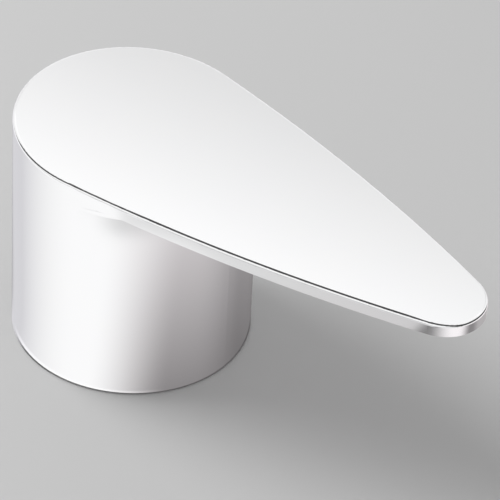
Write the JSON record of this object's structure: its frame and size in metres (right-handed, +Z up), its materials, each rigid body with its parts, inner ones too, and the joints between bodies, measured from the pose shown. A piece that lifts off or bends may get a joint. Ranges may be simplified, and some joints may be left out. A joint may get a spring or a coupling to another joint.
{
  "type": "mixer tap lever handle",
  "caption": "Chrome-plated single-lever mixer tap handle: round hollow skirt, flat drop-shaped lever sloping to a rounded tip, leaning square stem socket and rear grub screw.",
  "frame": {"origin": "on the skirt's axis, in the plane of its rim", "axes": "+Z up along the skirt's axis, +X from the axis towards the lever's tip"},
  "size_m": [0.1037, 0.047, 0.0492],
  "materials": {
    "chrome": "bright chrome plate on a zinc casting, polished outside and dull inside the skirt",
    "screw_steel": "plain stainless steel grub screw"
  },
  "bodies": {
    "root": {"handle_body": "chrome", "grub_screw": "screw_steel"}
  },
  "joints": []
}
